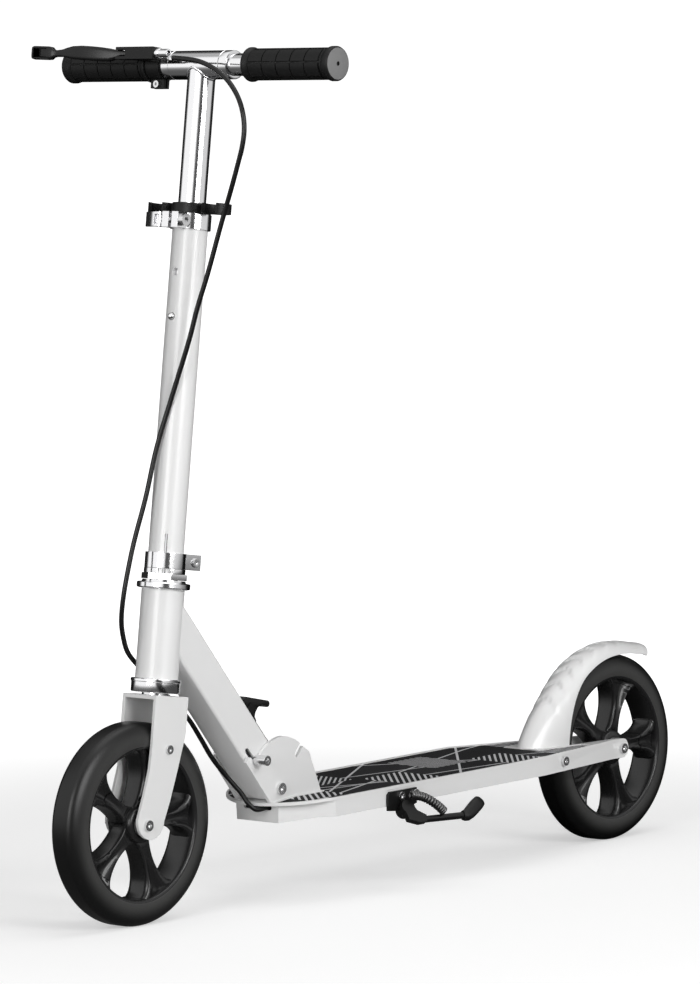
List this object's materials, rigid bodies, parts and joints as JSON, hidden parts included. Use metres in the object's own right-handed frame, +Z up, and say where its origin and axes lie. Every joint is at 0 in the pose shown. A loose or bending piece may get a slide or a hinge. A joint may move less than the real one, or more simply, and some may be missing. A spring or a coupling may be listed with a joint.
{
  "type": "kick scooter",
  "caption": "Folding kick scooter with a deck between spoked wheels, a height-adjusting handlebar, a hand brake, a step brake fender and a kickstand.",
  "frame": {"origin": "middle of the scooter on the ground under its bounding box", "axes": "+X forwards along the deck, +Y to the rider's left, +Z up"},
  "size_m": [0.936, 0.356, 0.8587],
  "materials": {
    "white_paint": "gloss",
    "chrome": "polished",
    "steel": "zinc plated",
    "tyre": "satin",
    "rim": "gloss",
    "black_plastic": "satin",
    "black_paint": "satin",
    "rubber": "matte",
    "cable": "satin",
    "grip_tape": "gritty"
  },
  "bodies": {
    "deck": {"deck": "white_paint", "grip_tape": "grip_tape", "deck_braces": "steel", "hinge_plates": "white_paint", "pivot_bolt": "steel", "fender_rod": "steel", "rear_axle": "steel", "rear_axle_spacers": "steel", "brake_arm_pin": "steel", "stand_bracket": "black_paint", "stand_screws": "steel", "brake_cable": "cable", "stand_spring": "steel"},
    "rear_wheel": {"rear_tyre": "tyre", "rear_rim": "rim", "rear_bearings": "steel", "rear_spacer": "steel"},
    "fender": {"fender": "white_paint", "brake_pad": "rubber"},
    "hand_brake_arm": {"brake_arm": "steel"},
    "kickstand": {"kickstand": "black_paint", "stand_foot": "rubber"},
    "neck": {"head_tube": "white_paint", "headset_lower": "chrome", "headset_upper": "chrome", "down_tube": "white_paint", "pivot_bush": "steel", "pedal_base": "black_plastic"},
    "lock_pin": {"lock_pin": "steel"},
    "release_pedal": {"release_pedal": "black_plastic"},
    "steering": {"fork": "white_paint", "fork_screws": "steel", "steerer": "chrome", "column_tube": "white_paint", "column_foot": "chrome", "headset_nut": "chrome", "lower_clamp": "chrome", "lower_clamp_bolt": "steel", "upper_clamp": "chrome", "upper_clamp_bolt": "steel", "grip_holder": "black_plastic", "front_axle": "steel", "front_axle_spacers": "steel"},
    "front_wheel": {"front_tyre": "tyre", "front_rim": "rim", "front_bearings": "steel", "front_spacer": "steel"},
    "clamp_lever": {"clamp_lever": "chrome"},
    "riser": {"handlebar": "chrome"},
    "height_button": {"spring_button": "steel"},
    "left_handle": {"left_handle": "chrome", "left_grip": "rubber"},
    "right_handle": {"right_handle": "chrome", "right_grip": "rubber", "lever_perch": "black_plastic", "lever_clamp_bolt": "steel", "cable_adjuster": "chrome", "lever_pin": "steel"},
    "brake_lever": {"brake_lever": "black_paint"}
  },
  "joints": [
    {"name": "rear_wheel_spin", "type": "hinge", "parent": "deck", "child": "rear_wheel", "pos_m": [-0.368, 0, 0.1], "axis": [0, 1, 0], "continuous": true},
    {"name": "front_wheel_spin", "type": "hinge", "parent": "steering", "child": "front_wheel", "pos_m": [0.368, 0, 0.1], "axis": [0, 1, 0], "continuous": true},
    {"name": "fender_press", "type": "hinge", "parent": "deck", "child": "fender", "pos_m": [-0.23, 0, 0.103], "axis": [0, -1, 0], "range_deg": [0, 2.2], "stiffness_Nm_per_rad": 30, "springref_deg": -1.15},
    {"name": "brake_lever", "type": "hinge", "parent": "right_handle", "child": "brake_lever", "pos_m": [0.27926, -0.076, 0.84963], "axis": [0.1323, 0, -0.9912], "range_deg": [0, 20], "stiffness_Nm_per_rad": 0.5, "springref_deg": -17.19, "deforming": ["brake_cable"]},
    {"name": "hand_brake_arm", "type": "hinge", "parent": "deck", "child": "hand_brake_arm", "pos_m": [-0.218, -0.034, 0.0951], "axis": [0, 0, 1], "range_deg": [0, 8.5], "deforming": ["brake_cable"]},
    {"name": "neck_fold", "type": "hinge", "parent": "deck", "child": "neck", "pos_m": [0.176, 0, 0.1155], "axis": [0, -1, 0], "range_deg": [0, 86], "deforming": ["brake_cable"]},
    {"name": "lock_pin", "type": "slide", "parent": "neck", "child": "lock_pin", "axis": [0.6347, 0, 0.7727], "range_m": [0, 0.012]},
    {"name": "release_pedal", "type": "hinge", "parent": "neck", "child": "release_pedal", "pos_m": [0.20895, 0, 0.19973], "axis": [0, -1, 0], "range_deg": [0, 8], "stiffness_Nm_per_rad": 2, "springref_deg": -5.73},
    {"name": "steering", "type": "hinge", "parent": "neck", "child": "steering", "pos_m": [0.347, 0, 0.1], "axis": [-0.1323, 0, 0.9912], "range_deg": [-60, 60], "deforming": ["brake_cable"]},
    {"name": "clamp_lever", "type": "hinge", "parent": "steering", "child": "clamp_lever", "pos_m": [0.29286, -0.018, 0.68725], "axis": [-0.1323, 0, 0.9912], "range_deg": [0, 90]},
    {"name": "riser_slide", "type": "slide", "parent": "steering", "child": "riser", "axis": [-0.1323, 0, 0.9912], "range_m": [-0.1, 0.044], "deforming": ["brake_cable", "spring_button"]},
    {"name": "height_button", "type": "slide", "parent": "riser", "child": "height_button", "axis": [-0.9912, 0, -0.1323], "range_m": [0, 0.005], "stiffness_N_per_m": 1500, "springref_m": -0.003, "deforming": ["spring_button"]},
    {"name": "left_handle_pull", "type": "slide", "parent": "riser", "child": "left_handle", "axis": [0, 1, 0], "range_m": [0, 0.045]},
    {"name": "right_handle_pull", "type": "slide", "parent": "riser", "child": "right_handle", "axis": [0, -1, 0], "range_m": [0, 0.045], "deforming": ["brake_cable"]},
    {"name": "kickstand_fold", "type": "hinge", "parent": "deck", "child": "kickstand", "pos_m": [0.047, 0.079, 0.086], "axis": [-0.2195, -0.8192, -0.5299], "range_deg": [0, 80], "deforming": ["stand_spring"]}
  ],
  "couplings": [
    {"joint": "lock_pin", "follows": "neck_fold", "m_per_rad": 0.0079948},
    {"joint": "hand_brake_arm", "follows": "brake_lever", "ratio": 0.425}
  ]
}
